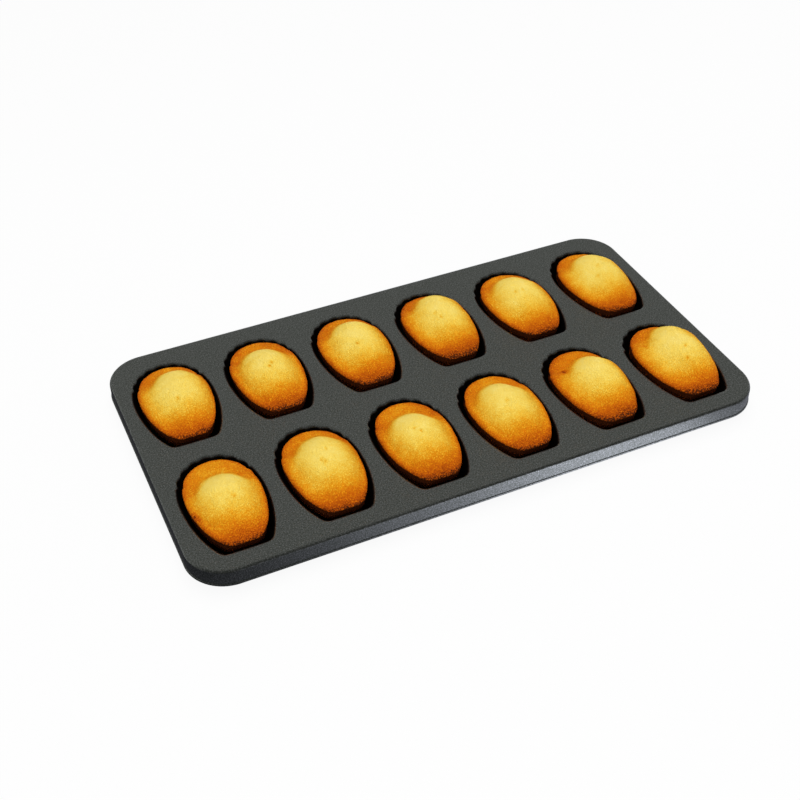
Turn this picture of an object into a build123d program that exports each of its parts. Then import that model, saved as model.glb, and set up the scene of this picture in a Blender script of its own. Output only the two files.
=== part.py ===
from build123d import *

import os
from math import atan2, cos, hypot, pi, radians, sin, sqrt

# Pressed steel madeleine pan with twelve fluted shell cups in two rows of six, each cup holding
# one baked madeleine. Millimetres, +X along the pan, +Y from the narrow ends of the cups to their
# fluted ends, +Z up. The origin is under the middle of the pan, on the surface that it stands on.

# The pressed sheet
sheet = 0.8
column_count = 6

# Mouth of one cup, measured at the wall just under the rolled lip
cup_width = 48.4
cup_length = 76.5
cup_depth = 16.5
flat_end_width = 27.0
flat_corner_reach = 3.0
fan_narrowing = 2.6
lip_radius = 2.5
lip_land = 0.9

# Flutes of one cup, on rays from a hinge point near its narrow end
flute_count = 7
flute_depth = 1.0
flute_fan_angle = 154.0
hinge_inset = 14.5
shoulder_step = 1.1

# Small flat floor of one cup, which the pan stands on
floor_width = 11.6
floor_length = 18.0
floor_offset = 1.75

# Deck webs between the cups and round them
column_gap = 11.6
row_gap = 18.3
side_margin = 9.8
front_margin = 14.2
back_margin = 16.8

# Turned-down rim
corner_radius = 24.5
bend_radius = 1.8
skirt_drop = 11.3
hem_height = 1.7
hem_proud = 0.4
hem_round = 0.35

# One baked madeleine
cake_flat_end_width = 15.0
cake_seat_gap = 0.3
cake_wall_gap = 2.2
cake_edge_gap = 2.7
cake_fan_gap = 2.5
cake_edge_sink = 0.4
crown_height = 12.8

# Counts and shares that shape the outlines
level_count = 10
flute_step_count = 6
side_step_count = 8
widest_share = 0.58
flute_round_share = 0.15
flute_swell_share = 1.0
lip_flute_share = 0.25
cake_edge_flute_share = 0.5
end_slope_share = 0.9
lip_angles = (0.0, 30.0, 60.0, 90.0)

# The madeleine's crown, level by level from its edge up: shares of the crown's height, of half
# the cup's width at its sides, and of the cup's length at its flat end and at its fan
crown_level_shares = (
    (0.13, 0.091, 0.029, 0.062),
    (0.28, 0.125, 0.050, 0.130),
    (0.45, 0.190, 0.095, 0.185),
    (0.62, 0.285, 0.155, 0.225),
    (0.78, 0.400, 0.235, 0.258),
    (0.90, 0.530, 0.315, 0.292),
    (0.97, 0.665, 0.395, 0.325),
    (1.00, 0.800, 0.465, 0.352),
)

# Places worked out from the sizes above
cup_half = cup_width / 2
cup_end = cup_length / 2
floor_front_inset = (cup_length - floor_length) / 2 + floor_offset
floor_back_inset = (cup_length - floor_length) / 2 - floor_offset
fan_radius = cup_half - fan_narrowing
fan_half_angle = radians(flute_fan_angle / 2)
flute_angle = 2 * fan_half_angle / flute_count
fan_centre_y = cup_end - fan_radius
hinge_y = hinge_inset - cup_end
deck_top = cup_depth + sheet
column_pitch = cup_width + column_gap
row_pitch = cup_length + row_gap
pan_length = (column_count - 1) * column_pitch + cup_width + 2 * side_margin
pan_width = row_pitch + cup_length + front_margin + back_margin
front_row_y = front_margin + cup_end - pan_width / 2
row_places = {"front": front_row_y, "back": front_row_y + row_pitch}


def column_x(column):
    return (column - (column_count + 1) / 2) * column_pitch


def flute_wave(x, y):
    """How far the flutes push the wall out at a place in the cup, from 0 on a ridge to 1."""
    reach = fan_centre_y - hinge_y
    ray = atan2(x, y - hinge_y)
    across = reach * sin(ray)
    if y <= hinge_y or abs(across) >= fan_radius:
        return 0
    along = reach * cos(ray) + sqrt(fan_radius**2 - across**2)
    fan_angle = atan2(along * sin(ray), along * cos(ray) - reach)
    if abs(fan_angle) >= fan_half_angle:
        return 0
    wave = cos(pi * fan_angle / flute_angle)
    crest = sqrt(1 + flute_round_share**2) - flute_round_share
    growth = hypot(x, y - hinge_y) / along
    return growth * (sqrt(wave**2 + flute_round_share**2) - flute_round_share) / crest


def half_outline(side_inset, flat_inset, fan_inset, flute, grow, flat_end):
    """Right-hand half of one level's outline, from the middle of the flat end to the fan's top."""
    half = cup_half - side_inset + grow
    scale = half / cup_half
    low = flat_inset - cup_end - grow
    high = cup_end - fan_inset + grow
    flat = flat_end / 2 * scale
    corner = flat_corner_reach * scale
    radius = fan_radius * scale
    centre = high - radius
    widest = low + widest_share * (high - low)
    shoulder = centre + radius * cos(fan_half_angle)
    shoulder_half = radius * sin(fan_half_angle) + shoulder_step * scale
    front_reach = (widest - low) / sqrt(1 - (flat / half) ** 2)
    back_reach = (shoulder - widest) / sqrt(1 - (shoulder_half / half) ** 2)
    side_low = low + corner
    side_high = shoulder - corner / 3
    side = []
    for step in range(side_step_count + 1):
        y = side_low + (side_high - side_low) * step / side_step_count
        reach = front_reach if y < widest else back_reach
        side.append((half * sqrt(1 - ((y - widest) / reach) ** 2), y))
    points = [(share * (flat - corner), low) for share in (0, 1 / 3, 2 / 3, 1)]
    points.append(((flat - corner + 2 * flat + side[0][0]) / 4, low + corner / 4))
    points.extend(side)
    steps = flute_count * flute_step_count // 2
    for step in range(steps + 1):
        angle = fan_half_angle * (1 - step / steps)
        foot = Vector(radius * sin(angle), centre + radius * cos(angle))
        bulge = flute * flute_wave(foot.X, foot.Y)
        points.append((foot.X + bulge * sin(angle), foot.Y + bulge * cos(angle)))
    return points


def outline(z, insets=(0, 0, 0), flute=flute_depth, grow=0, flat_end=flat_end_width):
    """One level's whole outline as a face at height z, grown outwards by grow. Its insets are
    those of the sides, the flat end and the fan."""
    half = half_outline(*insets, flute, grow, flat_end)
    left = [(-x, y) for x, y in reversed(half[1:-1])]
    points = [Vector(x, y, z) for x, y in half + left]
    return Face(Wire(Spline(*points, periodic=True)))


def cup_levels():
    """Each level under the lip: depth, three insets, flute, and its normal's outward and
    downward parts. The wall's section is an ellipse that ends on the small flat floor."""
    start = atan2(lip_radius, cup_depth)
    side_run = cup_half - floor_width / 2
    for step in range(1, level_count + 1):
        turn = start + (pi / 2 - start) * step / level_count
        run = 1 - cos(turn)
        end_run = run**end_slope_share
        flute = flute_depth * (1 + flute_swell_share * sin(turn * pi / 2))
        fall = cup_depth * cos(turn)
        inward = side_run * sin(turn)
        slope = hypot(fall, inward)
        insets = (side_run * run, floor_front_inset * end_run, floor_back_inset * end_run)
        yield cup_depth * sin(turn), insets, flute, fall / slope, inward / slope


def lip_outlines(radius):
    """Outlines round the rolled lip, whose bend has its centre one lip radius below the deck."""
    for angle in lip_angles:
        turn = radians(angle)
        z = deck_top - lip_radius + radius * cos(turn)
        flute = flute_depth * (lip_flute_share + (1 - lip_flute_share) * sin(turn))
        yield outline(z, flute=flute, grow=lip_radius - radius * sin(turn))


def land_plate():
    """The flat land round the lip, as thick as the deck, filled across the cup's mouth."""
    flute = flute_depth * lip_flute_share
    return extrude(outline(deck_top - sheet, flute=flute, grow=lip_radius + lip_land), sheet)


def cup_space():
    """The space in the cup, from the deck's top round the lip and down to the floor."""
    faces = list(lip_outlines(lip_radius))
    for depth, insets, flute, outward, down in cup_levels():
        faces.append(outline(deck_top - depth, insets, flute))
    return loft(faces, ruled=True)


def cup_form():
    """The cup's outer form, one sheet's thickness outside its space, with its flat land."""
    faces = list(lip_outlines(lip_radius - sheet))
    for depth, insets, flute, outward, down in cup_levels():
        z = deck_top - depth - sheet * down
        faces.append(outline(z, insets, flute, grow=sheet * outward))
    return land_plate() + loft(faces, ruled=True)


def madeleine():
    """A baked cake: its ribbed underside follows the cup, drawn back from its wall, its fan and
    its flat end's corners, and its crown swells over that edge and stands up."""
    edge_z = deck_top - cake_edge_sink
    edge_flute = flute_depth * cake_edge_flute_share
    flat_end = cake_flat_end_width
    edge = outline(edge_z, (0, 0, cake_fan_gap), edge_flute, -cake_edge_gap, flat_end)
    under = [edge]
    for depth, (side, flat, fan), flute, outward, down in cup_levels():
        gap = cake_seat_gap + (cake_wall_gap - cake_seat_gap) * outward**2
        z = deck_top - depth + cake_seat_gap
        level_end = flat_end + (flat_end_width - flat_end) * depth / cup_depth
        under.append(outline(z, (side, flat, fan + cake_fan_gap), flute, -gap, level_end))
    crown = [edge]
    rise = crown_height + cake_edge_sink
    for height, side, flat, fan in crown_level_shares:
        insets = (cup_half * side, cup_length * flat, cup_length * fan)
        crown.append(outline(edge_z + rise * height, insets, 0, 0, flat_end))
    return loft(under, ruled=True) + loft(crown, ruled=True)


def rounded_block(inset, low, high, bend=0):
    """Block inside the pan's rounded outline, with its top edge bent over where asked."""
    size = Rectangle(pan_length - 2 * inset, pan_width - 2 * inset)
    base = fillet(size.vertices(), corner_radius - inset)
    block = extrude(Plane.XY.offset(low) * base, high - low)
    return fillet(block.faces().sort_by(Axis.Z)[-1].edges(), bend) if bend else block


def deck_plate():
    """The flat deck inside the rim's bend, open at each cup's land."""
    plate = rounded_block(bend_radius, deck_top - sheet, deck_top)
    hole = land_plate()
    for y in row_places.values():
        for column in range(1, column_count + 1):
            plate -= Pos(column_x(column), y, 0) * hole
    return plate


def rim_skirt():
    """The bend at the deck's edge and the upright skirt below it, down to the hem."""
    low = deck_top - skirt_drop + hem_height
    outer = rounded_block(0, low, deck_top, bend_radius)
    inner = rounded_block(sheet, low - sheet, deck_top - sheet, bend_radius - sheet)
    return outer - inner - rounded_block(bend_radius, deck_top - sheet, deck_top)


def rim_hem():
    """The folded hem along the skirt's lower edge, proud of the skirt and rounded outside."""
    low = deck_top - skirt_drop
    outer = rounded_block(-hem_proud, low, low + hem_height)
    outer = fillet(outer.faces().sort_by(Axis.Z)[-1].edges(), hem_round)
    outer = fillet(outer.faces().sort_by(Axis.Z)[0].edges(), hem_round)
    return outer - rounded_block(sheet, low - sheet, low + hem_height + sheet)


def write(name, shape):
    export_step(shape, f"parts/{name}.step")


if __name__ == "__main__":
    os.makedirs("parts", exist_ok=True)
    write("deck_plate", deck_plate())
    write("rim_skirt", rim_skirt())
    write("rim_hem", rim_hem())
    cup = cup_form() - cup_space()
    cake = madeleine()
    for row, y in row_places.items():
        for column in range(1, column_count + 1):
            place = Pos(column_x(column), y, 0)
            write(f"cup_{row}_{column}", place * cup)
            write(f"madeleine_{row}_{column}", place * cake)
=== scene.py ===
"""A coated steel madeleine pan with twelve cakes, built round the packed model's frame."""

import math

import bmesh
import bpy
from mathutils import Matrix, Vector


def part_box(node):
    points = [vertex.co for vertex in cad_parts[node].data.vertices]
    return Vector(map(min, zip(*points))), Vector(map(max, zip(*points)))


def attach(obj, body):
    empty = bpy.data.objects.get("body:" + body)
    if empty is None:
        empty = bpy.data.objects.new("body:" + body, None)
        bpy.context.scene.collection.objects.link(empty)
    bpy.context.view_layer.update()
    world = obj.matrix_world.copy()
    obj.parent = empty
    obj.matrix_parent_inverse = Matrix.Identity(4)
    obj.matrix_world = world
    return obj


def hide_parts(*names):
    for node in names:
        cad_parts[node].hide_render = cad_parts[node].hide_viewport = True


bl_info = {
    "name": "Madeleine Pan",
    "version": (1, 0, 0),
    "blender": (4, 5, 0),
    "location": "View3D > Sidebar > Madeleine",
    "description": "Builds a fluted madeleine pan with its baked cakes",
    "category": "Add Mesh",
}

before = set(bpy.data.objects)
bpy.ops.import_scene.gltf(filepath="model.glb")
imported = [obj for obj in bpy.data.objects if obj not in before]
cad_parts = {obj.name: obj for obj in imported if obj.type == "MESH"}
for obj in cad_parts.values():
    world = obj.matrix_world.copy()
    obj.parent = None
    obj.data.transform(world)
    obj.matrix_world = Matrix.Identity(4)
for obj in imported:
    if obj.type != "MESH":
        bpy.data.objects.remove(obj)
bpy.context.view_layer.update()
MM = 0.001
PAN_BODY = "pan"
ROWS = ("front", "back")
COLUMNS = range(1, 7)

CUP_LENGTH = 76.5 * MM
LIP_RADIUS = 2.5 * MM
LIP_LAND = 0.9 * MM
DECK_LOW, DECK_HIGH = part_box("deck_plate")
SKIRT_LOW, SKIRT_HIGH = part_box("rim_skirt")
HEM_LOW, HEM_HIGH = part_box("rim_hem")


def cup_places():
    """Middle of each cup's mouth in the frame, on the surface that the pan stands on. The box of
    a cup reaches past the mouth by the lip and its land, and at the fan by a flute as well."""
    places = {}
    for row in ROWS:
        for column in COLUMNS:
            low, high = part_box(f"cup_{row}_{column}")
            front = low.y + LIP_RADIUS + LIP_LAND
            places[row, column] = Vector(((low.x + high.x) / 2, front + CUP_LENGTH / 2, 0))
    return places


PLACES = cup_places()


def length(name, description, default):
    return bpy.props.FloatProperty(
        name=name, description=description, default=default, min=0, unit="LENGTH", precision=5
    )


def colour(name, description, default):
    return bpy.props.FloatVectorProperty(
        name=name, description=description, default=default, size=3, min=0, max=1, subtype="COLOR"
    )


def count(name, description, default):
    return bpy.props.IntProperty(name=name, description=description, default=default, min=1)


class CupSizes(bpy.types.PropertyGroup):
    """Sizes of one fluted cup, as the steel is pressed"""

    width: length("Width", "Mouth at the wall, side to side", 48.4 * MM)
    reach: length("Length", "Mouth at the wall, end to end", CUP_LENGTH)
    depth: length("Depth", "From the deck to the inside of the floor", 16.5 * MM)
    flat_end: length("Flat end", "Width of the narrow end", 27.0 * MM)
    corner: length("Corner reach", "How far the narrow end's corners reach", 3.0 * MM)
    fan_narrowing: length("Fan narrowing", "How far the fan's radius is under half width", 2.6 * MM)
    shoulder: length("Shoulder step", "Step where the side meets the fan", 1.1 * MM)
    lip: length("Lip radius", "Radius of the rolled lip", LIP_RADIUS)
    land: length("Lip land", "Flat land round the lip", LIP_LAND)
    flutes: count("Flutes", "Flutes in one cup", 7)
    flute_depth: length("Flute depth", "How far a flute stands out at the mouth", 1.0 * MM)
    fan_angle: bpy.props.FloatProperty(
        name="Fan angle",
        description="Angle that the flutes spread over at the mouth",
        default=math.radians(154),
        subtype="ANGLE",
    )
    hinge: length("Hinge inset", "From the narrow end to where the flutes spread from", 14.5 * MM)
    floor_width: length("Floor width", "Width of the flat floor", 11.6 * MM)
    floor_front: length("Floor front inset", "From the narrow end to the floor", 31.0 * MM)
    floor_back: length("Floor back inset", "From the fan's end to the floor", 27.5 * MM)


class CakeSizes(bpy.types.PropertyGroup):
    """Sizes of one baked cake"""

    crown: length("Crown", "Height of the hump over the deck", 12.8 * MM)
    seat_gap: length("Seat gap", "Room under the cake", 0.3 * MM)
    wall_gap: length("Wall gap", "Room round the cake", 2.2 * MM)
    edge_gap: length("Edge gap", "Room at the edge of its moulded side", 2.7 * MM)
    fan_gap: length("Fan gap", "How far the cake has drawn back from the fan", 2.5 * MM)
    flat_end: length("Flat end", "Width of its narrow end, at the edge", 19.0 * MM)
    edge_sink: length("Edge sink", "How far the edge lies under the deck", 0.4 * MM)
    swell: length("Swell", "Height over that edge of the cake's widest line", 1.7 * MM)
    swell_gap: length("Swell gap", "Room round that widest line", 2.0 * MM)
    swell_side: length("Swell side", "How far the crown swells to the right", 0.3 * MM)
    brim: length("Brim", "Height of the brim behind the hump", 1.2 * MM)
    shoulder: length("Shoulder", "Height of the rounded shoulder at the sides", 4.0 * MM)
    toe: length("Toe", "Height of the rounded shoulder at the narrow end", 2.4 * MM)
    shoulder_reach: length("Shoulder reach", "How far in the shoulder rounds", 13.0 * MM)
    hump_front: length("Hump front", "Reach of the hump towards the narrow end", 38.0 * MM)
    hump_back: length("Hump back", "Reach of the hump towards the fan", 22.0 * MM)
    hump_side: length("Hump side", "Reach of the hump sideways", 18.5 * MM)
    hump_place: length("Hump place", "How far the hump's middle is past the cup's middle", 4.0 * MM)
    lump_size: length("Lump size", "Size of the slow swellings on the crust", 9.0 * MM)
    lump_height: length("Lump height", "Height of the slow swellings", 0.9 * MM)
    ripple_size: length("Ripple size", "Size of the fine ripples on the crust", 2.6 * MM)
    ripple_height: length("Ripple height", "Height of the fine ripples", 0.2 * MM)


class Finishes(bpy.types.PropertyGroup):
    """Colours of the coat and the cakes"""

    coat: colour("Coat", "Dark non-stick coat", (0.196, 0.215, 0.184))
    flake: colour("Flake", "Light flakes in the coat", (0.60, 0.62, 0.60))
    # Colour that the coat darkens to deep in the cups: painted shade for the dark hollows round the
    # cakes
    cup_shade: colour("Cup shade", "Painted shade that darkens the coat in the cups", (0.045, 0.035, 0.030))
    pebble: length("Pebble", "Size of the coat's pebbling", 0.75 * MM)
    crumb: length("Crumb", "Size of the crust's grain", 0.85 * MM)


class StageSizes(bpy.types.PropertyGroup):
    """Camera, lamps and floor"""

    lens: bpy.props.FloatProperty(name="Lens", description="Focal length in mm", default=56.295)
    azimuth: bpy.props.FloatProperty(
        name="Azimuth", description="Turn of the view from +Y to +X", default=23.914
    )
    elevation: bpy.props.FloatProperty(
        name="Elevation", description="Height of the view over the floor", default=40.5
    )
    roll: bpy.props.FloatProperty(name="Roll", description="Roll of the camera", default=-0.779)
    place: bpy.props.FloatVectorProperty(
        name="Place",
        description="Place of the camera",
        default=(-0.2626, -0.5481, 0.5193),
        unit="LENGTH",
    )
    floor: length("Floor", "Half the floor's width", 3.0)


# The pan's corners and the rounding of its hem
CORNER_RADIUS = 24.5 * MM
HEM_TOP_ROUND = 0.35 * MM
HEM_FOOT_ROUND = 0.6 * MM

# Counts of the steps that make an outline or a wall smooth
FLAT_STEPS = 5
CORNER_STEPS = 4
SIDE_STEPS = 12
FLUTE_STEPS = 12
LIP_STEPS = 7
WALL_STEPS = 22
CROWN_STEPS = 26
SWELL_STEPS = 4
BEND_STEPS = 8
CORNER_ARC_STEPS = 24
HEM_ROUND_STEPS = 4
SHARP_ANGLE = math.radians(38)

# Shares that shape the cup's outline, as in the pressed steel
WIDEST_SHARE = 0.58
FLUTE_ROUND_SHARE = 0.15
FLUTE_SWELL_SHARE = 1.0
LIP_FLUTE_SHARE = 0.25
END_SLOPE_SHARE = 0.9
EDGE_FLUTE_SHARE = 0.5

# How the hump falls, how the crown's rings close in on its middle, and between which turns of a
# ray the shoulder of the sides becomes that of the brim or of the narrow end
HUMP_POWER = 2.1
HUMP_EASE = 1.25
CROWN_STEP_POWER = 1.4
BRIM_TURN = (0.1, 0.8)
TOE_TURN = (0.5, 1.0)

# How the crust browns: shares, and the reach of the browning from the middle or from the edge
CROWN_BROWN = 0.05
FRONT_BROWN_START = -4.0 * MM
FRONT_BROWN_END = 36.0 * MM
FRONT_BROWN_POWER = 1.9
FRONT_BROWN = 0.86
SIDE_BROWN = 0.5
SIDE_BROWN_REACH = 22.0 * MM
RIM_BROWN = 0.28
RIM_BROWN_REACH = 2.6 * MM
RIM_BROWN_LEAN = 0.2
BRIM_BROWN = 0.42
BRIM_BROWN_TURN = (0.0, 0.8)
BRIM_BROWN_HUMP = (0.0, 0.55)
# The crust is drawn darker in its pits
PIT_DARKENING = 0.32
PIT_DEPTH = 0.7 * MM
UNDER_BROWN = 0.86
UNDER_BROWN_DEPTH = 7.0 * MM
RIB_BROWN = -0.10
# Browning and painted shade: the cake's side next to the deck is drawn near black, darker than its
# browning, for the dark gap round it
EDGE_BROWN_AND_SHADE = 1.3
EDGE_SHADE_POWER = 2

# The coat: where the painted shade in the cups starts under the deck and where it is full, the
# size of its uneven patches, how sparse the flakes are, its roughness and its pebbling's relief
CUP_SHADE_START = 0.05 * MM
CUP_SHADE_FULL = 1.7 * MM
COAT_PATCH = 45 * MM
FLAKE_POWER = 1.9
COAT_ROUGHNESS = 0.28
PATCH_ROUGHNESS = 0.06
CUP_SHADE_ROUGHNESS = 0.25
PEBBLE_STRENGTH = 0.4
PEBBLE_RELIEF = 0.09 * MM

# The crust: its tints from pale to burnt as (browning, colour), its uneven patches, its specks and
# how much stronger they are where it is browned, its gloss and its grain's relief
CRUST_TINTS = (
    (0.00, (0.956, 0.752, 0.205)),
    (0.15, (0.930, 0.672, 0.114)),
    (0.30, (0.871, 0.515, 0.045)),
    (0.45, (0.783, 0.318, 0.009)),
    (0.60, (0.680, 0.188, 0.004)),
    (0.75, (0.539, 0.108, 0.003)),
    (0.90, (0.340, 0.058, 0.003)),
    (1.00, (0.060, 0.014, 0.004)),
)
CRUST_PATCH = 7 * MM
PATCH_BROWN = 0.10
SPECK_BROWN = 0.12
SPECK_BROWN_GROWTH = 0.22
SPECK_POWER = 2.0
SPECK_MIDDLE = 0.22
CRUST_ROUGHNESS = 0.7
CRUST_SPECULAR = 0.04
CRUMB_STRENGTH = 0.8
CRUMB_RELIEF = 0.5 * MM

# Values of the noise that become 0 and 1 in the masks
GRAIN_RANGE = (0.32, 0.68)
MOTTLE_RANGE = (0.3, 0.7)

# The floor's paint, and how much of its own glow the camera sees
FLOOR_PAINT = (0.86, 0.86, 0.86)
FLOOR_CAMERA_GLOW = 0.93

# What glossy surfaces see of the floor within this half width, from left to right: (place, level)
FLOOR_GLOW_HALF = 0.2
FLOOR_GLOW = (
    (0.02, 0.04),
    (0.125, 0.08),
    (0.225, 0.15),
    (0.425, 0.40),
    (0.625, 0.92),
    (0.70, 1.00),
    (0.825, 0.86),
    (0.90, 0.40),
    (1.00, 0.20),
)
FLOOR_GLOW_LEVEL = 1.25
FLOOR_GLOW_TINT = (0.87, 0.88, 1.04)

# Brightness of the surroundings behind the pan and before it, from the horizon up to the zenith:
# (height, level)
SKY_BACK = ((0.00, 0.80), (0.10, 0.45), (0.26, 0.21), (0.78, 0.21), (1.00, 0.15))
SKY_FRONT = ((0.00, 0.10), (0.30, 0.08), (0.80, 0.08), (1.00, 0.12))
SKY_TURN = 0.25
BACKDROP_LEVEL = 0.97

# The lamps, which glossy surfaces don't show: name, place, size, power and tint
WHITE = (1.0, 1.0, 1.0)
LAMPS = (
    ("key_lamp", (-0.3, -0.7, 1.4), 0.9, 6.9, WHITE),
    ("top_lamp", (0.1, 0.25, 1.5), 1.0, 14.0, WHITE),
    ("left_lamp", (-1.15, -0.75, 0.45), 0.5, 3.2, WHITE),
    ("right_lamp", (1.3, -0.3, 0.45), 0.5, 3.4, WHITE),
    ("front_lamp", (-0.15, -1.3, 0.35), 0.3, 1.8, (0.86, 0.94, 1.0)),
)
LAMP_TARGET = (0, 0, 0.02)

SENSOR_WIDTH = 36.0
NEAR_CLIP = 0.01


def smooth(low, high, value):
    """Smooth step from 0 at low to 1 at high."""
    t = min(1.0, max(0.0, (value - low) / (high - low)))
    return t * t * (3 - 2 * t)


def mix(low, high, t):
    return low + (high - low) * t


def fan_middle(cup):
    return cup.reach / 2 - cup.width / 2 + cup.fan_narrowing


def flute_wave(cup, x, y):
    """How far the flutes push the wall out at a place in the cup, from 0 on a ridge to 1."""
    hinge_y = cup.hinge - cup.reach / 2
    reach = fan_middle(cup) - hinge_y
    radius = cup.width / 2 - cup.fan_narrowing
    ray = math.atan2(x, y - hinge_y)
    across = reach * math.sin(ray)
    if y <= hinge_y or abs(across) >= radius:
        return 0
    along = reach * math.cos(ray) + math.sqrt(radius**2 - across**2)
    fan_angle = math.atan2(along * math.sin(ray), along * math.cos(ray) - reach)
    if abs(fan_angle) >= cup.fan_angle / 2:
        return 0
    wave = math.cos(math.pi * fan_angle * cup.flutes / cup.fan_angle)
    crest = math.hypot(1, FLUTE_ROUND_SHARE) - FLUTE_ROUND_SHARE
    growth = math.hypot(x, y - hinge_y) / along
    return growth * (math.hypot(wave, FLUTE_ROUND_SHARE) - FLUTE_ROUND_SHARE) / crest


def half_outline(cup, insets, flute, grow, flat_end):
    """Right-hand half of one level's outline, from the middle of the flat end to the fan's top."""
    side_inset, flat_inset, fan_inset = insets
    half = cup.width / 2 - side_inset + grow
    scale = half / (cup.width / 2)
    low = flat_inset - cup.reach / 2 - grow
    high = cup.reach / 2 - fan_inset + grow
    flat = flat_end / 2 * scale
    corner = cup.corner * scale
    radius = (cup.width / 2 - cup.fan_narrowing) * scale
    middle = high - radius
    widest = low + WIDEST_SHARE * (high - low)
    spread = cup.fan_angle / 2
    shoulder = middle + radius * math.cos(spread)
    shoulder_half = radius * math.sin(spread) + cup.shoulder * scale
    front_reach = (widest - low) / math.sqrt(1 - (flat / half) ** 2)
    back_reach = (shoulder - widest) / math.sqrt(1 - (shoulder_half / half) ** 2)

    def side(y):
        reach = front_reach if y < widest else back_reach
        return half * math.sqrt(1 - ((y - widest) / reach) ** 2)

    points = [((flat - corner) * step / FLAT_STEPS, low) for step in range(FLAT_STEPS)]
    side_low = low + corner
    for step in range(CORNER_STEPS):
        t = step / CORNER_STEPS
        x = (1 - t) ** 2 * (flat - corner) + 2 * t * (1 - t) * flat + t**2 * side(side_low)
        points.append((x, low + t**2 * corner))
    side_high = shoulder - corner / 3
    for step in range(SIDE_STEPS + 1):
        y = side_low + (side_high - side_low) * step / SIDE_STEPS
        points.append((side(y), y))
    steps = cup.flutes * FLUTE_STEPS // 2
    for step in range(steps + 1):
        angle = spread * (1 - step / steps)
        x, y = radius * math.sin(angle), middle + radius * math.cos(angle)
        bulge = flute * flute_wave(cup, x, y)
        points.append((x + bulge * math.sin(angle), y + bulge * math.cos(angle)))
    return points


def outline(cup, z, insets=(0, 0, 0), flute=0.0, grow=0.0, flat_end=None):
    """One level's whole outline as a ring of points at height z."""
    half = half_outline(cup, insets, flute, grow, cup.flat_end if flat_end is None else flat_end)
    left = [(-x, y) for x, y in reversed(half[1:-1])]
    return [Vector((x, y, z)) for x, y in half + left]


def wall_levels(cup):
    """Each level under the lip: depth, insets, flute, and its normal's outward and downward parts.
    The wall's section is an ellipse that ends on the small flat floor."""
    start = math.atan2(cup.lip, cup.depth)
    side_run = cup.width / 2 - cup.floor_width / 2
    for step in range(1, WALL_STEPS + 1):
        turn = start + (math.pi / 2 - start) * step / WALL_STEPS
        run = 1 - math.cos(turn)
        end_run = run**END_SLOPE_SHARE
        flute = cup.flute_depth * (1 + FLUTE_SWELL_SHARE * math.sin(turn * math.pi / 2))
        fall = cup.depth * math.cos(turn)
        inward = side_run * math.sin(turn)
        slope = math.hypot(fall, inward)
        insets = (side_run * run, cup.floor_front * end_run, cup.floor_back * end_run)
        yield cup.depth * math.sin(turn), insets, flute, fall / slope, inward / slope


def lip_rings(cup, radius):
    """Rings round the rolled lip, from the deck down to the wall."""
    for step in range(LIP_STEPS + 1):
        turn = math.pi / 2 * step / LIP_STEPS
        z = DECK_HIGH.z - cup.lip + radius * math.cos(turn)
        flute = cup.flute_depth * mix(LIP_FLUTE_SHARE, 1.0, math.sin(turn))
        yield outline(cup, z, flute=flute, grow=cup.lip - radius * math.sin(turn))


def land_ring(cup, z):
    """Ring round the lip's flat land."""
    return outline(cup, z, flute=cup.flute_depth * LIP_FLUTE_SHARE, grow=cup.lip + cup.land)


def rounded_ring(inset, z):
    """The pan's rounded outline, drawn in by inset, as a ring of points at height z."""
    corner = CORNER_RADIUS - inset
    ring = []
    for quarter, (along, across) in enumerate(((1, 1), (-1, 1), (-1, -1), (1, -1))):
        middle_x = along * (SKIRT_HIGH.x - CORNER_RADIUS)
        middle_y = across * (SKIRT_HIGH.y - CORNER_RADIUS)
        for step in range(CORNER_ARC_STEPS + 1):
            angle = math.pi / 2 * (quarter + step / CORNER_ARC_STEPS)
            x = middle_x + corner * math.cos(angle)
            y = middle_y + corner * math.sin(angle)
            ring.append(Vector((x, y, z)))
    return ring


def loft(bm, rings, loop=False):
    """Skins rings that have as many points each. With loop, the last is joined to the first."""
    rows = [[bm.verts.new(point) for point in ring] for ring in rings]
    pairs = list(zip(rows, rows[1:]))
    if loop:
        pairs.append((rows[-1], rows[0]))
    for low, high in pairs:
        for i in range(len(low)):
            j = (i + 1) % len(low)
            bm.faces.new((low[i], low[j], high[j], high[i]))
    return rows


def fan(bm, row, top):
    """Closes a row with triangles to one point, and gives back that point."""
    middle = bm.verts.new(top)
    for i in range(len(row)):
        bm.faces.new((row[i], row[(i + 1) % len(row)], middle))
    return middle


def new_piece(name, bm, sharp=SHARP_ANGLE):
    """An object from the bmesh, smooth but for its sharp edges, with faces pointing outwards."""
    bmesh.ops.recalc_face_normals(bm, faces=bm.faces)
    mesh = bpy.data.meshes.new(name)
    bm.to_mesh(mesh)
    bm.free()
    mesh.shade_smooth()
    mesh.set_sharp_from_angle(angle=sharp)
    piece = bpy.data.objects.new(name, mesh)
    bpy.context.scene.collection.objects.link(piece)
    return piece


def bake_tree(piece, tree, values):
    """Runs a Geometry Nodes tree on the piece with these inputs, and keeps the plain mesh."""
    modifier = piece.modifiers.new(tree.name, "NODES")
    modifier.node_group = tree
    for item in tree.interface.items_tree:
        if item.item_type == "SOCKET" and item.in_out == "INPUT" and item.name in values:
            modifier[item.identifier] = values[item.name]
    bpy.context.view_layer.update()
    depsgraph = bpy.context.evaluated_depsgraph_get()
    mesh = bpy.data.meshes.new_from_object(piece.evaluated_get(depsgraph))
    piece.modifiers.clear()
    old = piece.data
    piece.data = mesh
    mesh.name = piece.name
    bpy.data.meshes.remove(old)
    return piece


def add_node(tree, kind, inputs=None, **settings):
    """Adds a node. An input's value is a number, a colour, or another node's output to link."""
    made = tree.nodes.new(kind)
    for name, value in settings.items():
        setattr(made, name, value)
    for name, value in (inputs or {}).items():
        if isinstance(value, bpy.types.NodeSocket):
            tree.links.new(value, made.inputs[name])
        else:
            made.inputs[name].default_value = value
    return made


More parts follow.
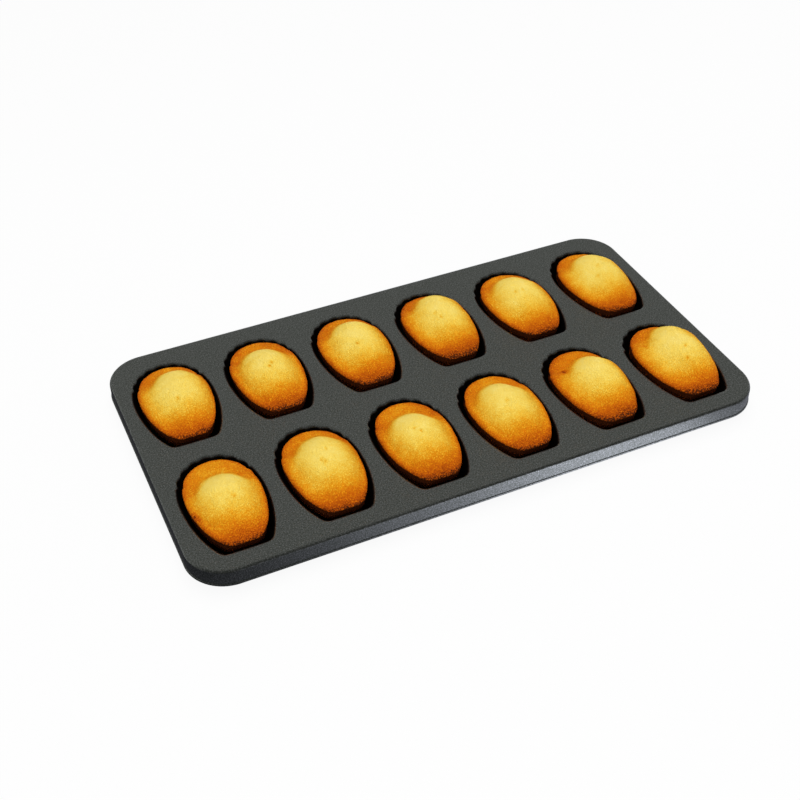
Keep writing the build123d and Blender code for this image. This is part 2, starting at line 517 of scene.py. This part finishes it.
def new_tree(name, kind, inputs, outputs):
    """An empty node group with these sockets: (name, type, default) in and (name, type) out."""
    tree = bpy.data.node_groups.new(name, kind)
    for socket_name, socket_type, default in inputs:
        socket = tree.interface.new_socket(socket_name, in_out="INPUT", socket_type=socket_type)
        if default is not None:
            socket.default_value = default
    for socket_name, socket_type in outputs:
        tree.interface.new_socket(socket_name, in_out="OUTPUT", socket_type=socket_type)
    return tree, tree.nodes.new("NodeGroupInput"), tree.nodes.new("NodeGroupOutput")


def math_node(tree, operation, *values):
    made = add_node(tree, "ShaderNodeMath", dict(enumerate(values)), operation=operation)
    return made.outputs[0]


def colour_mix(tree, factor, a, b):
    """Mixes two colours, each a tuple of four or another node's output."""
    inputs = {"Factor": factor, "A": a, "B": b}
    return add_node(tree, "ShaderNodeMix", inputs, data_type="RGBA").outputs[2]


def stretch(tree, value, low, high):
    """Maps the range from low to high onto 0 to 1."""
    inputs = {"Value": value, "From Min": low, "From Max": high}
    return add_node(tree, "ShaderNodeMapRange", inputs).outputs["Result"]


def bump_normal(tree, height, strength, relief):
    inputs = {"Strength": strength, "Distance": relief, "Height": height}
    return add_node(tree, "ShaderNodeBump", inputs).outputs["Normal"]


def ramp(tree, factor, stops):
    """A colour ramp whose stops are (position, colour)."""
    made = add_node(tree, "ShaderNodeValToRGB", {"Fac": factor})
    elements = made.color_ramp.elements
    while len(elements) < len(stops):
        elements.new(1.0)
    for element, (position, value) in zip(elements, stops):
        element.position = position
        element.color = (*value, 1.0)
    return made.outputs["Color"]


def grain_group():
    """Fine grain shared by the coat and the crust: Mask for colour and Height for relief."""
    if "Fine grain" in bpy.data.node_groups:
        return bpy.data.node_groups["Fine grain"]
    tree, given, result = new_tree(
        "Fine grain",
        "ShaderNodeTree",
        (("Vector", "NodeSocketVector", None), ("Size", "NodeSocketFloat", MM)),
        (("Mask", "NodeSocketFloat"), ("Height", "NodeSocketFloat")),
    )
    scale = math_node(tree, "DIVIDE", 1.0, given.outputs["Size"])
    noise = add_node(
        tree,
        "ShaderNodeTexNoise",
        {"Vector": given.outputs["Vector"], "Scale": scale, "Detail": 2.0, "Roughness": 0.6},
    )
    cells = add_node(
        tree,
        "ShaderNodeTexVoronoi",
        {"Vector": given.outputs["Vector"], "Scale": scale},
        feature="SMOOTH_F1",
    )
    height = math_node(tree, "SUBTRACT", noise.outputs["Fac"], cells.outputs["Distance"])
    mask = stretch(tree, noise.outputs["Fac"], *GRAIN_RANGE)
    tree.links.new(mask, result.inputs["Mask"])
    tree.links.new(height, result.inputs["Height"])
    return tree


def mottle_group():
    """Slow uneven patches shared by the coat and the crust."""
    if "Mottle" in bpy.data.node_groups:
        return bpy.data.node_groups["Mottle"]
    tree, given, result = new_tree(
        "Mottle",
        "ShaderNodeTree",
        (("Vector", "NodeSocketVector", None), ("Size", "NodeSocketFloat", 10 * MM)),
        (("Mask", "NodeSocketFloat"),),
    )
    scale = math_node(tree, "DIVIDE", 1.0, given.outputs["Size"])
    noise = add_node(
        tree,
        "ShaderNodeTexNoise",
        {"Vector": given.outputs["Vector"], "Scale": scale, "Detail": 3.0, "Roughness": 0.55},
    )
    mask = stretch(tree, noise.outputs["Fac"], *MOTTLE_RANGE)
    tree.links.new(mask, result.inputs["Mask"])
    return tree


def place_group(tree, group, inputs):
    return add_node(tree, "ShaderNodeGroup", inputs, node_tree=group)


def new_material(name):
    """A material with its Principled BSDF, and the Object coordinates that patterns follow."""
    material = bpy.data.materials.new(name)
    material.use_nodes = True
    tree = material.node_tree
    shader = tree.nodes["Principled BSDF"]
    place = add_node(tree, "ShaderNodeTexCoord").outputs["Object"]
    return material, tree, shader, place


def coat_material(finish):
    """Dark non-stick coat with fine pebbling and pale metal flakes."""
    material, tree, shader, place = new_material("nonstick_coat")
    grain = place_group(tree, grain_group(), {"Vector": place, "Size": finish.pebble})
    patches = place_group(tree, mottle_group(), {"Vector": place, "Size": COAT_PATCH})
    flakes = math_node(tree, "POWER", grain.outputs["Mask"], FLAKE_POWER)
    tint = colour_mix(tree, flakes, (*finish.coat, 1.0), (*finish.flake, 1.0))
    # Painted shade: deep in the cups the coat's colour darkens and its reflections dim
    cup_shade = add_node(tree, "ShaderNodeAttribute", attribute_name="cup_shade").outputs["Fac"]
    darkened = colour_mix(tree, cup_shade, tint, (*finish.cup_shade, 1.0))
    tree.links.new(darkened, shader.inputs["Base Color"])
    shader.inputs["Metallic"].default_value = 1.0
    mask = patches.outputs["Mask"]
    uneven = math_node(tree, "MULTIPLY_ADD", mask, PATCH_ROUGHNESS, COAT_ROUGHNESS)
    rough = math_node(tree, "MULTIPLY_ADD", cup_shade, CUP_SHADE_ROUGHNESS, uneven)
    tree.links.new(rough, shader.inputs["Roughness"])
    normal = bump_normal(tree, grain.outputs["Height"], PEBBLE_STRENGTH, PEBBLE_RELIEF)
    tree.links.new(normal, shader.inputs["Normal"])
    return material


def crust_material(finish):
    """Baked crust: its browning, with painted shade at the cake's edge by the deck, is on the mesh,
    and its grain and pores follow the piece.
    """
    material, tree, shader, place = new_material("baked_crust")
    baked = add_node(tree, "ShaderNodeAttribute", attribute_name="browning").outputs["Fac"]
    grain = place_group(tree, grain_group(), {"Vector": place, "Size": finish.crumb})
    patches = place_group(tree, mottle_group(), {"Vector": place, "Size": CRUST_PATCH})
    mottled = math_node(tree, "MULTIPLY_ADD", patches.outputs["Mask"], PATCH_BROWN, baked)
    strength = math_node(tree, "MULTIPLY_ADD", baked, SPECK_BROWN_GROWTH, SPECK_BROWN)
    specks = math_node(tree, "POWER", grain.outputs["Mask"], SPECK_POWER)
    darker = math_node(tree, "SUBTRACT", SPECK_MIDDLE, specks)
    speckled = math_node(tree, "MULTIPLY_ADD", darker, strength, mottled)
    tree.links.new(ramp(tree, speckled, CRUST_TINTS), shader.inputs["Base Color"])
    shader.inputs["Roughness"].default_value = CRUST_ROUGHNESS
    shader.inputs["Specular IOR Level"].default_value = CRUST_SPECULAR
    normal = bump_normal(tree, grain.outputs["Height"], CRUMB_STRENGTH, CRUMB_RELIEF)
    tree.links.new(normal, shader.inputs["Normal"])
    return material


def shared_coat(context):
    """The coat's material, built once for all of the pan's pieces."""
    made = bpy.data.materials.get("nonstick_coat")
    return made or coat_material(context.scene.madeleine_finish)


def finish_pan_piece(piece, *nodes):
    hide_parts(*nodes)
    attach(piece, PAN_BODY)


class MADELEINE_OT_deck(bpy.types.Operator):
    """Build the flat deck with an opening for each cup"""

    bl_idname = "madeleine.deck"
    bl_label = "Deck"

    def execute(self, context):
        cup = context.scene.madeleine_cup
        bm = bmesh.new()
        faces = []
        for z in (DECK_LOW.z, DECK_HIGH.z):
            loops = [rounded_ring(SKIRT_HIGH.x - DECK_HIGH.x, z)]
            opening = land_ring(cup, z)
            for row in ROWS:
                for column in COLUMNS:
                    loops.append([point + PLACES[row, column] for point in opening])
            faces.append([[bm.verts.new(point) for point in loop] for loop in loops])
        for loops in faces:
            edges = []
            for loop in loops:
                for i in range(len(loop)):
                    edges.append(bm.edges.new((loop[i - 1], loop[i])))
            bmesh.ops.triangle_fill(bm, use_beauty=True, edges=edges)
        for low, high in zip(*faces):
            for i in range(len(low)):
                bm.faces.new((low[i - 1], low[i], high[i], high[i - 1]))
        piece = new_piece("deck_sheet", bm)
        piece.data.materials.append(shared_coat(context))
        finish_pan_piece(piece, "deck_plate")
        return {"FINISHED"}


def hem_profile(proud, sheet, low, high):
    """Section of the folded hem: (inset, height) pairs round its rounded outer edge."""
    points = [(sheet, high)]
    for step in range(HEM_ROUND_STEPS + 1):
        turn = math.pi / 2 * step / HEM_ROUND_STEPS
        inset = -proud + HEM_TOP_ROUND * (1 - math.sin(turn))
        points.append((inset, high - HEM_TOP_ROUND * (1 - math.cos(turn))))
    for step in range(HEM_ROUND_STEPS + 1):
        turn = math.pi / 2 * step / HEM_ROUND_STEPS
        inset = -proud + HEM_FOOT_ROUND * (1 - math.cos(turn))
        points.append((inset, low + HEM_FOOT_ROUND * (1 - math.sin(turn))))
    points.append((sheet, low))
    return points


class MADELEINE_OT_rim(bpy.types.Operator):
    """Build the bent rim, its skirt and its folded hem"""

    bl_idname = "madeleine.rim"
    bl_label = "Rim and hem"

    def execute(self, context):
        coat = shared_coat(context)
        top = DECK_HIGH.z
        sheet = DECK_HIGH.z - DECK_LOW.z
        bend = SKIRT_HIGH.x - DECK_HIGH.x
        outer, inner = [], []
        for step in range(BEND_STEPS + 1):
            turn = math.pi / 2 * step / BEND_STEPS
            outer.append((bend * (1 - math.sin(turn)), top - bend * (1 - math.cos(turn))))
            inset = bend - (bend - sheet) * math.sin(turn)
            inner.append((inset, top - bend + (bend - sheet) * math.cos(turn)))
        profile = outer + [(0, SKIRT_LOW.z), (sheet, SKIRT_LOW.z)] + inner[::-1]
        bm = bmesh.new()
        loft(bm, [rounded_ring(inset, z) for inset, z in profile], loop=True)
        rim = new_piece("rim_sheet", bm)
        rim.data.materials.append(coat)
        finish_pan_piece(rim, "rim_skirt")

        proud = HEM_HIGH.x - SKIRT_HIGH.x
        profile = hem_profile(proud, sheet, HEM_LOW.z, HEM_HIGH.z)
        bm = bmesh.new()
        loft(bm, [rounded_ring(inset, z) for inset, z in profile], loop=True)
        hem = new_piece("rim_fold", bm)
        hem.data.materials.append(coat)
        finish_pan_piece(hem, "rim_hem")
        return {"FINISHED"}


def cup_row_tree():
    """Geometry Nodes: sets copies of one cup along a row and gives them their finish."""
    tree, given, result = new_tree(
        "Cup row",
        "GeometryNodeTree",
        (
            ("Geometry", "NodeSocketGeometry", None),
            ("Cups", "NodeSocketInt", 6),
            ("First place", "NodeSocketVector", None),
            ("Pitch", "NodeSocketVector", None),
            ("Finish", "NodeSocketMaterial", None),
        ),
        (("Geometry", "NodeSocketGeometry"),),
    )
    line = add_node(
        tree,
        "GeometryNodeMeshLine",
        {
            "Count": given.outputs["Cups"],
            "Start Location": given.outputs["First place"],
            "Offset": given.outputs["Pitch"],
        },
        mode="OFFSET",
    )
    copies = add_node(
        tree,
        "GeometryNodeInstanceOnPoints",
        {"Points": line.outputs["Mesh"], "Instance": given.outputs["Geometry"]},
    )
    real = add_node(tree, "GeometryNodeRealizeInstances", {0: copies.outputs[0]})
    finished = add_node(
        tree,
        "GeometryNodeSetMaterial",
        {"Geometry": real.outputs[0], "Material": given.outputs["Finish"]},
    )
    tree.links.new(finished.outputs[0], result.inputs[0])
    return tree


class MADELEINE_OT_cups(bpy.types.Operator):
    """Press one fluted cup, and set a row of them in the front and in the back"""

    bl_idname = "madeleine.cups"
    bl_label = "Fluted cups"

    def execute(self, context):
        cup = context.scene.madeleine_cup
        coat = shared_coat(context)
        sheet = DECK_HIGH.z - DECK_LOW.z
        inside = [land_ring(cup, DECK_HIGH.z), *lip_rings(cup, cup.lip)]
        outside = [land_ring(cup, DECK_LOW.z), *lip_rings(cup, cup.lip - sheet)]
        for depth, insets, flute, outward, down in wall_levels(cup):
            inside.append(outline(cup, DECK_HIGH.z - depth, insets, flute))
            z = DECK_HIGH.z - depth - sheet * down
            outside.append(outline(cup, z, insets, flute, grow=sheet * outward))
        tree = cup_row_tree()
        for row in ROWS:
            bm = bmesh.new()
            # Painted shade: a share on each inside point, 0 at the lip's top and 1 a little under
            # the deck
            cup_shade = bm.verts.layers.float.new("cup_shade")
            rows = loft(bm, inside[::-1] + outside)
            for ring in rows[: len(inside)]:
                for vertex in ring:
                    vertex[cup_shade] = smooth(CUP_SHADE_START, CUP_SHADE_FULL, DECK_HIGH.z - vertex.co.z)
            bm.faces.new(rows[0])
            bm.faces.new(rows[-1])
            piece = new_piece(f"{row}_cups", bm)
            first = PLACES[row, 1]
            bake_tree(
                piece,
                tree,
                {
                    "Cups": len(COLUMNS),
                    "First place": first,
                    "Pitch": PLACES[row, 2] - first,
                    "Finish": coat,
                },
            )
            finish_pan_piece(piece, *[f"cup_{row}_{column}" for column in COLUMNS])
        return {"FINISHED"}


class Bake:
    """How one cake came out of the oven."""

    def __init__(self, rise, lean, push, brown, seed, pits=()):
        self.rise = rise  # share of the crown's full height
        self.lean = lean * MM  # how far the hump leans to the right
        self.push = push * MM  # how far the hump sits towards the fan
        self.brown = brown  # more or less browning
        self.seed = seed
        self.pits = [Vector(pit) * MM for pit in pits]  # places of its pits: x, y and radius


BAKES = {
    "front": (
        Bake(0.96, 0.5, -5.0, 0.00, 1.3, ((-20, -8, 1.3), (-18.5, -11, 1.1), (3, -9, 1.1))),
        Bake(1.00, 2.3, 1.0, 0.03, 2.9, ((-2, -3, 1.1), (-1, -6, 0.9), (3, 4, 0.9))),
        Bake(0.98, 0.0, -3.2, 0.04, 4.1, ((-3, -2, 1.0), (0, -5, 0.9))),
        Bake(1.00, 0.2, -0.5, 0.02, 5.7, ((-2, -3, 1.1),)),
        Bake(1.00, 5.5, -1.0, 0.08, 6.2, ((-11, 16, 1.8),)),
        Bake(1.00, 7.5, 5.0, 0.06, 7.5, ((-12, 14, 1.6), (6, -3, 1.1), (2, -12, 1.0))),
    ),
    "back": (
        Bake(0.98, 3.4, 2.3, 0.02, 8.8, ((-1, -9, 1.0),)),
        Bake(0.98, 0.2, -0.8, 0.05, 9.4, ((2, -2, 1.1), (0, -5, 1.0))),
        Bake(1.00, 3.0, 2.5, 0.06, 10.6, ((-1, -6, 1.0),)),
        Bake(1.00, 4.4, 6.0, 0.10, 11.9, ((0, -3, 1.1), (-2, 2, 1.0))),
        Bake(0.98, 2.0, 2.3, 0.04, 12.7, ((-3, 0, 1.1), (2, -1, 1.0))),
        Bake(0.99, 4.2, 3.2, 0.03, 13.2, ((2, 2, 1.1), (-3, -6, 1.0))),
    ),
}


class Crown:
    """The risen surface of one cake, in the cup's own place."""

    def __init__(self, cake, bake, base):
        self.cake = cake
        self.bake = bake
        self.base = base
        self.middle = Vector((bake.lean, cake.hump_place + bake.push))
        self.top = DECK_HIGH.z + cake.crown * bake.rise

    def hump(self, x, y):
        """1 at the hump's top, easing to 0 at its foot."""
        cake = self.cake
        along = y - self.middle.y
        reach = cake.hump_front + self.bake.push if along < 0 else cake.hump_back
        ratio = math.hypot((x - self.middle.x) / cake.hump_side, along / reach)
        return max(0.0, 1 - ratio**HUMP_POWER) ** HUMP_EASE

    def shoulder(self, edge):
        """Height of the rounded shoulder on the ray from the hump's middle to this edge point."""
        ray = (edge.xy - self.middle).normalized()
        if ray.y > 0:
            return mix(self.cake.shoulder, self.cake.brim, smooth(*BRIM_TURN, ray.y))
        return mix(self.cake.shoulder, self.cake.toe, smooth(*TOE_TURN, -ray.y))

    def point(self, edge, share):
        """Point at this share of the way from an edge point to the hump's middle, with its
        browning."""
        flat = edge.xy.lerp(self.middle, share)
        inside = (flat - edge.xy).length
        rounding = 1 - min(1.0, inside / self.cake.shoulder_reach)
        low = self.base + self.shoulder(edge) * math.sqrt(1 - rounding**2)
        hump = self.hump(*flat)
        pitted = self.pitted(flat)
        height = mix(low, self.top, hump) - PIT_DEPTH * pitted
        brown = self.browning(flat, edge, inside, hump) + PIT_DARKENING * pitted
        return Vector((*flat, height)), brown

    def pitted(self, flat):
        """1 in the middle of a pit, easing to 0 round it."""
        deep = 0.0
        for x, y, radius in self.bake.pits:
            away = math.hypot(flat.x - x, flat.y - y) / radius
            deep = max(deep, math.exp(-(away**2)))
        return deep

    def browning(self, flat, edge, inside, hump):
        """Dark at the narrow end, the edges and the brim, pale on the hump."""
        reach = FRONT_BROWN_END - FRONT_BROWN_START
        front = min(1.0, max(0.0, (-flat.y - FRONT_BROWN_START) / reach)) ** FRONT_BROWN_POWER
        front *= FRONT_BROWN
        ray = (edge.xy - self.middle).normalized()
        side = SIDE_BROWN * abs(ray.x) * max(0.0, 1 - inside / SIDE_BROWN_REACH) ** 2
        rim = RIM_BROWN * (1 - RIM_BROWN_LEAN * ray.y) * max(0.0, 1 - inside / RIM_BROWN_REACH)
        brim = BRIM_BROWN * smooth(*BRIM_BROWN_TURN, ray.y) * (1 - smooth(*BRIM_BROWN_HUMP, hump))
        pale = (1 - CROWN_BROWN) * (1 - front) * (1 - side) * (1 - rim) * (1 - brim)
        return 1 - pale + self.bake.brown * (1 - hump)


def cake_bmesh(cup, cake, bake, place):
    """The cake's closed surface, and the browning and crown share of each of its points. By the
    deck the browning also holds painted shade.
    """
    edge_z = DECK_HIGH.z - cake.edge_sink
    rings, values = [], []
    for depth, insets, flute, outward, down in reversed(list(wall_levels(cup))):
        gap = cake.seat_gap + (cake.wall_gap - cake.seat_gap) * outward**2
        side, flat_end, fan_end = insets
        insets = (side, flat_end, fan_end + cake.fan_gap)
        end = mix(cake.flat_end, cup.flat_end, depth / cup.depth)
        ring = outline(cup, DECK_HIGH.z - depth + cake.seat_gap, insets, flute, -gap, end)
        rings.append(ring)
        # Browning and painted shade: near the deck the underside is near black, then browns over to
        # its baked underside deeper down
        under = mix(EDGE_BROWN_AND_SHADE, UNDER_BROWN, smooth(0.0, UNDER_BROWN_DEPTH, depth))
        values.append([(under + RIB_BROWN * flute_wave(cup, p.x, p.y), 0.0) for p in ring])
    for step in range(SWELL_STEPS + 1):
        turn = math.pi / 2 * step / SWELL_STEPS
        gap = mix(cake.edge_gap, cake.swell_gap, math.sin(turn))
        flute = cup.flute_depth * EDGE_FLUTE_SHARE * (1 - step / SWELL_STEPS)
        z = edge_z + cake.swell * step / SWELL_STEPS
        ring = outline(cup, z, (0, 0, cake.fan_gap), flute, -gap, cake.flat_end)
        for point in ring:
            point.x += cake.swell_side * step / SWELL_STEPS
        rings.append(ring)
        values.append([(None, step / SWELL_STEPS) for point in ring])
    widest = rings[-1]
    crown = Crown(cake, bake, widest[0].z)
    for step in range(1, CROWN_STEPS):
        share = (step / CROWN_STEPS) ** CROWN_STEP_POWER
        made = [crown.point(edge, share) for edge in widest]
        rings.append([point for point, brown in made])
        values.append([(brown, 1.0) for point, brown in made])
    rim_browning = [crown.point(edge, 0)[1] for edge in widest]
    bm = bmesh.new()
    browning = bm.verts.layers.float.new("browning")
    crust = bm.verts.layers.float.new("crust")
    rows = loft(bm, [[point + place for point in ring] for ring in rings])
    for row, row_values in zip(rows, values):
        for index, (vertex, (brown, crown_share)) in enumerate(zip(row, row_values)):
            if brown is None:
                # The swell rings run from the near-black edge, browning and painted shade, to the
                # rim's browning
                brown = mix(EDGE_BROWN_AND_SHADE, rim_browning[index], crown_share**EDGE_SHADE_POWER)
            vertex[browning] = brown
            vertex[crust] = crown_share
    bm.faces.new(rows[0])
    top = fan(bm, rows[-1], Vector((*crown.middle, crown.top)) + place)
    top[crust] = 1.0
    return bm


def crust_tree():
    """Geometry Nodes: swells and ripples the crown's crust, and gives the cake its finish."""
    tree, given, result = new_tree(
        "Risen crust",
        "GeometryNodeTree",
        (
            ("Geometry", "NodeSocketGeometry", None),
            ("Seed", "NodeSocketFloat", 0.0),
            ("Lump size", "NodeSocketFloat", 10 * MM),
            ("Lump height", "NodeSocketFloat", 1 * MM),
            ("Ripple size", "NodeSocketFloat", 2 * MM),
            ("Ripple height", "NodeSocketFloat", 0.1 * MM),
            ("Finish", "NodeSocketMaterial", None),
        ),
        (("Geometry", "NodeSocketGeometry"),),
    )
    finer = add_node(
        tree, "GeometryNodeSubdivisionSurface", {"Mesh": given.outputs["Geometry"], "Level": 1}
    )
    place = add_node(tree, "GeometryNodeInputPosition").outputs[0]
    crust = add_node(tree, "GeometryNodeInputNamedAttribute", {"Name": "crust"}, data_type="FLOAT")

    def swell(size, height):
        noise = add_node(
            tree,
            "ShaderNodeTexNoise",
            {
                "Vector": place,
                "W": given.outputs["Seed"],
                "Scale": math_node(tree, "DIVIDE", 1.0, given.outputs[size]),
                "Detail": 1.0,
            },
            noise_dimensions="4D",
        )
        centred = math_node(tree, "SUBTRACT", noise.outputs["Fac"], 0.5)
        return math_node(tree, "MULTIPLY", centred, given.outputs[height])

    swells = math_node(
        tree, "ADD", swell("Lump size", "Lump height"), swell("Ripple size", "Ripple height")
    )
    masked = math_node(tree, "MULTIPLY", swells, crust.outputs[0])
    normal = add_node(tree, "GeometryNodeInputNormal").outputs[0]
    offset = add_node(
        tree, "ShaderNodeVectorMath", {0: normal, "Scale": masked}, operation="SCALE"
    )
    moved = add_node(
        tree, "GeometryNodeSetPosition", {"Geometry": finer.outputs[0], "Offset": offset.outputs[0]}
    )
    real = add_node(tree, "GeometryNodeRealizeInstances", {0: moved.outputs[0]})
    finished = add_node(
        tree,
        "GeometryNodeSetMaterial",
        {"Geometry": real.outputs[0], "Material": given.outputs["Finish"]},
    )
    tree.links.new(finished.outputs[0], result.inputs[0])
    return tree


class MADELEINE_OT_cakes(bpy.types.Operator):
    """Bake a cake in each cup, each risen and browned in its own way"""

    bl_idname = "madeleine.cakes"
    bl_label = "Cakes"

    def execute(self, context):
        cup = context.scene.madeleine_cup
        cake = context.scene.madeleine_cake
        crust = crust_material(context.scene.madeleine_finish)
        tree = crust_tree()
        for row in ROWS:
            for column, bake in zip(COLUMNS, BAKES[row]):
                bm = cake_bmesh(cup, cake, bake, PLACES[row, column])
                piece = new_piece(f"cake_{row}_{column}", bm, sharp=math.pi)
                bake_tree(
                    piece,
                    tree,
                    {
                        "Seed": bake.seed,
                        "Lump size": cake.lump_size,
                        "Lump height": cake.lump_height,
                        "Ripple size": cake.ripple_size,
                        "Ripple height": cake.ripple_height,
                        "Finish": crust,
                    },
                )
                piece.data.shade_smooth()
                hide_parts(f"madeleine_{row}_{column}")
                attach(piece, f"cake_{row}_{column}")
        return {"FINISHED"}


def floor_material():
    """White floor: it takes light and shadow, the camera sees it white, and glossy surfaces see
    its glow."""
    material, tree, shader, place = new_material("pale_floor")
    tree.nodes.remove(shader)
    output = tree.nodes["Material Output"]
    paint = add_node(tree, "ShaderNodeBsdfDiffuse", {"Color": (*FLOOR_PAINT, 1.0)})
    path = add_node(tree, "ShaderNodeLightPath")
    glossy = path.outputs["Is Glossy Ray"]
    across = add_node(tree, "ShaderNodeSeparateXYZ", {0: place}).outputs["X"]
    along = stretch(tree, across, -FLOOR_GLOW_HALF, FLOOR_GLOW_HALF)
    stops = [
        (position, [level * part for part in FLOOR_GLOW_TINT]) for position, level in FLOOR_GLOW
    ]
    colour_seen = colour_mix(tree, glossy, (*WHITE, 1.0), ramp(tree, along, stops))
    strength = math_node(tree, "MULTIPLY_ADD", glossy, FLOOR_GLOW_LEVEL - 1, 1.0)
    glow = add_node(tree, "ShaderNodeEmission", {"Color": colour_seen, "Strength": strength})
    seen = math_node(tree, "MULTIPLY", path.outputs["Is Camera Ray"], FLOOR_CAMERA_GLOW)
    seen = math_node(tree, "MAXIMUM", seen, glossy)
    mixed = add_node(
        tree, "ShaderNodeMixShader", {0: seen, 1: paint.outputs[0], 2: glow.outputs[0]}
    )
    tree.links.new(mixed.outputs[0], output.inputs["Surface"])
    return material


def add_floor(half):
    """A square floor under the pan, as wide as twice this half."""
    mesh = bpy.data.meshes.new("studio_floor")
    corners = [(-half, -half, 0), (half, -half, 0), (half, half, 0), (-half, half, 0)]
    mesh.from_pydata(corners, [], [(0, 1, 2, 3)])
    mesh.materials.append(floor_material())
    floor = bpy.data.objects.new("studio_floor", mesh)
    bpy.context.scene.collection.objects.link(floor)


def studio_world():
    """Soft surroundings, brighter behind the pan than before it. The camera sees them pale."""
    world = bpy.data.worlds.new("soft_studio")
    world.use_nodes = True
    tree = world.node_tree
    direction = add_node(tree, "ShaderNodeTexCoord").outputs["Generated"]
    parts = add_node(tree, "ShaderNodeSeparateXYZ", {0: direction})
    back, front = [
        ramp(tree, parts.outputs["Z"], [(position, (level,) * 3) for position, level in sky])
        for sky in (SKY_BACK, SKY_FRONT)
    ]
    sky = colour_mix(tree, stretch(tree, parts.outputs["Y"], -SKY_TURN, SKY_TURN), front, back)
    camera_ray = add_node(tree, "ShaderNodeLightPath").outputs["Is Camera Ray"]
    seen = colour_mix(tree, camera_ray, sky, (*[BACKDROP_LEVEL] * 3, 1.0))
    background = tree.nodes["Background"]
    tree.links.new(seen, background.inputs["Color"])
    background.inputs["Strength"].default_value = 1.0
    return world


def add_lamp(name, place, size, power, tint):
    """A square soft lamp that shines from this place on the pan."""
    data = bpy.data.lights.new(name, "AREA")
    data.size = size
    data.energy = power
    data.color = tint
    lamp = bpy.data.objects.new(name, data)
    lamp.location = place
    away = Vector(LAMP_TARGET) - Vector(place)
    lamp.rotation_euler = away.to_track_quat("-Z", "Y").to_euler()
    lamp.visible_glossy = False
    bpy.context.scene.collection.objects.link(lamp)


def add_camera(sizes):
    """The camera at the photograph's viewing angle."""
    data = bpy.data.cameras.new("photo_camera")
    data.lens = sizes.lens
    data.sensor_width = SENSOR_WIDTH
    data.clip_start = NEAR_CLIP
    camera = bpy.data.objects.new("photo_camera", data)
    turn = Matrix.Rotation(-math.radians(sizes.azimuth), 3, "Z")
    tilt = Matrix.Rotation(math.radians(90 - sizes.elevation), 3, "X")
    roll = Matrix.Rotation(math.radians(sizes.roll), 3, "Z")
    camera.rotation_euler = (turn @ tilt @ roll).to_euler()
    camera.location = sizes.place
    bpy.context.scene.collection.objects.link(camera)
    return camera


class MADELEINE_OT_stage(bpy.types.Operator):
    """Set the pale floor, the soft studio light and the camera"""

    bl_idname = "madeleine.stage"
    bl_label = "Stage"

    def execute(self, context):
        sizes = context.scene.madeleine_stage
        scene = context.scene
        add_floor(sizes.floor)
        scene.world = studio_world()
        for lamp in LAMPS:
            add_lamp(*lamp)
        scene.camera = add_camera(sizes)
        scene.view_settings.view_transform = "Standard"
        return {"FINISHED"}


STEPS = (
    MADELEINE_OT_deck,
    MADELEINE_OT_rim,
    MADELEINE_OT_cups,
    MADELEINE_OT_cakes,
    MADELEINE_OT_stage,
)
SETTINGS = {
    "madeleine_cup": CupSizes,
    "madeleine_cake": CakeSizes,
    "madeleine_finish": Finishes,
    "madeleine_stage": StageSizes,
}


class MADELEINE_PT_sidebar(bpy.types.Panel):
    """Lists the steps that build the pan"""

    bl_label = "Madeleine Pan"
    bl_idname = "MADELEINE_PT_sidebar"
    bl_space_type = "VIEW_3D"
    bl_region_type = "UI"
    bl_category = "Madeleine"

    def draw(self, context):
        for name, group in SETTINGS.items():
            box = self.layout.box()
            box.label(text=group.__doc__)
            for key in group.__annotations__:
                box.prop(getattr(context.scene, name), key)
        for step in STEPS:
            self.layout.operator(step.bl_idname)


def register():
    for cls in (*SETTINGS.values(), *STEPS, MADELEINE_PT_sidebar):
        bpy.utils.register_class(cls)
    for name, group in SETTINGS.items():
        setattr(bpy.types.Scene, name, bpy.props.PointerProperty(type=group))


def unregister():
    for name in SETTINGS:
        delattr(bpy.types.Scene, name)
    for cls in (MADELEINE_PT_sidebar, *reversed(STEPS), *reversed(list(SETTINGS.values()))):
        bpy.utils.unregister_class(cls)


def main():
    register()
    for step in STEPS:
        group, name = step.bl_idname.split(".")
        getattr(getattr(bpy.ops, group), name)()


if __name__ == "__main__":
    main()
